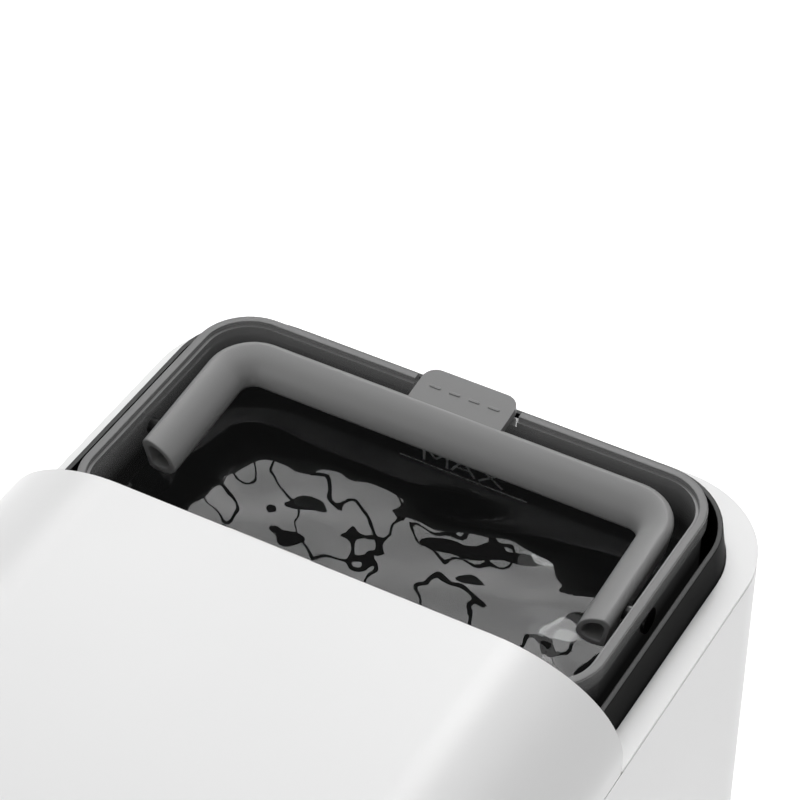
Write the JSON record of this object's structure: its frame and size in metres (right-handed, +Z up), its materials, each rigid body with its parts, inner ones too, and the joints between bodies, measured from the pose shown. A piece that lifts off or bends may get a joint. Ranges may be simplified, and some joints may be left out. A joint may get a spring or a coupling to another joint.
{
  "type": "dehumidifier",
  "caption": "Slim white compressor dehumidifier with a raised hood and a lift-out smoked water tank at its top rear, carried by a grey swing handle.",
  "frame": {"origin": "middle of the footprint, on the floor", "axes": "+Z up, +Y to the rear where the tank and the intake are, +X to the right seen from the front"},
  "size_m": [0.2, 0.34, 0.43],
  "materials": {
    "white_moulding": "fine matt, white",
    "black_liner": "fine matt, black",
    "smoked_plastic": "glossy, clear smoked grey",
    "grey_grip": "satin, mid grey",
    "dark_plastic": "matt, near black",
    "gloss_black": "glossy black",
    "display_window": "glossy smoked window",
    "button_cap": "satin light grey",
    "rubber": "matt black",
    "float_plastic": "matt off-white",
    "magnet": "bright nickel",
    "steel": "bare steel",
    "zinc_steel": "zinc plated",
    "black_painted": "semi-gloss black enamel",
    "filter_net": "fine woven net",
    "filter_plastic": "matt dark grey",
    "grille_white": "fine matt, white",
    "fin_aluminium": "thin bright sheet",
    "copper": "drawn copper tube",
    "tray_plastic": "matt grey",
    "fan_plastic": "satin light grey",
    "winding": "enamelled copper wire and laminations",
    "iron": "machined iron",
    "circuit_board": "green solder mask with parts",
    "capacitor_can": "drawn can",
    "pump_plastic": "satin white",
    "clear_hose": "milky silicone",
    "louver_white": "fine matt, white"
  },
  "bodies": {
    "housing": {"base_plate": "dark_plastic", "rubber_feet": "rubber", "side_shell": "white_moulding", "front_panel": "white_moulding", "top_cover": "white_moulding", "tank_well": "black_liner", "reed_switch": "dark_plastic", "fill_spout": "dark_plastic", "drip_tray": "tray_plastic", "evaporator_fins": "fin_aluminium", "evaporator_tube": "copper", "condenser_fins": "fin_aluminium", "condenser_tube": "copper", "coil_frames": "zinc_steel", "fan_shroud": "tray_plastic", "fan_motor": "zinc_steel", "motor_bracket": "zinc_steel", "compressor_can": "black_painted", "compressor_stator": "winding", "compressor_block": "iron", "compressor_mount": "zinc_steel", "compressor_grommets": "rubber", "accumulator": "black_painted", "suction_pipe": "copper", "discharge_pipe": "copper", "capillary_tube": "copper", "filter_drier": "copper", "run_capacitor": "capacitor_can", "condensate_pump": "pump_plastic", "pump_hose": "clear_hose", "drain_socket": "dark_plastic", "power_inlet": "dark_plastic", "power_board": "circuit_board", "control_board": "circuit_board", "tact_switches": "steel", "humidity_sensor": "circuit_board", "control_panel": "gloss_black", "display_lens": "display_window", "outlet_frame": "dark_plastic", "louver_motor": "pump_plastic", "air_guide": "tray_plastic", "base_screws": "steel", "cover_screws": "steel"},
    "tank": {"water_tank": "smoked_plastic", "handle_pins": "black_painted", "float_pin": "steel"},
    "handle": {"tank_handle": "grey_grip"},
    "float": {"float_body": "float_plastic", "float_magnet": "magnet"},
    "filter_cassette": {"intake_grille": "grille_white", "filter_frame": "filter_plastic", "filter_mesh": "filter_net"},
    "fan": {"fan_impeller": "fan_plastic", "fan_shaft": "steel"},
    "compressor_shaft": {"compressor_rotor": "steel"},
    "louver": {"outlet_louver": "louver_white"},
    "power_key": {"power_button": "button_cap"},
    "fan_key": {"fan_button": "button_cap"},
    "humidity_key": {"humidity_button": "button_cap"},
    "timer_key": {"timer_button": "button_cap"}
  },
  "joints": [
    {"name": "tank_lift", "type": "slide", "parent": "housing", "child": "tank", "axis": [0, 0, 1], "range_m": [0, 0.24]},
    {"name": "handle_swing", "type": "hinge", "parent": "tank", "child": "handle", "pos_m": [0, 0.102, 0.4056], "axis": [1, 0, 0], "range_deg": [0, 95]},
    {"name": "float_swing", "type": "hinge", "parent": "tank", "child": "float", "pos_m": [-0.03, 0.0635, 0.393], "axis": [1, 0, 0], "range_deg": [-30, 0]},
    {"name": "filter_slide", "type": "slide", "parent": "housing", "child": "filter_cassette", "axis": [0, 1, 0], "range_m": [0, 0.03]},
    {"name": "fan_spin", "type": "hinge", "parent": "housing", "child": "fan", "pos_m": [0, 0.07, 0.105], "axis": [0, 1, 0], "continuous": true},
    {"name": "compressor_spin", "type": "hinge", "parent": "housing", "child": "compressor_shaft", "pos_m": [-0.018, -0.058, 0.1], "axis": [0, 0, 1], "continuous": true},
    {"name": "louver_tilt", "type": "hinge", "parent": "housing", "child": "louver", "pos_m": [0, -0.1673, 0.306], "axis": [1, 0, 0], "range_deg": [0, 60]},
    {"name": "power_press", "type": "slide", "parent": "housing", "child": "power_key", "axis": [0, 1, 0], "range_m": [0, 0.0008], "stiffness_N_per_m": 250, "springref_m": -0.001},
    {"name": "fan_press", "type": "slide", "parent": "housing", "child": "fan_key", "axis": [0, 1, 0], "range_m": [0, 0.0008], "stiffness_N_per_m": 250, "springref_m": -0.001},
    {"name": "humidity_press", "type": "slide", "parent": "housing", "child": "humidity_key", "axis": [0, 1, 0], "range_m": [0, 0.0008], "stiffness_N_per_m": 250, "springref_m": -0.001},
    {"name": "timer_press", "type": "slide", "parent": "housing", "child": "timer_key", "axis": [0, 1, 0], "range_m": [0, 0.0008], "stiffness_N_per_m": 250, "springref_m": -0.001}
  ]
}
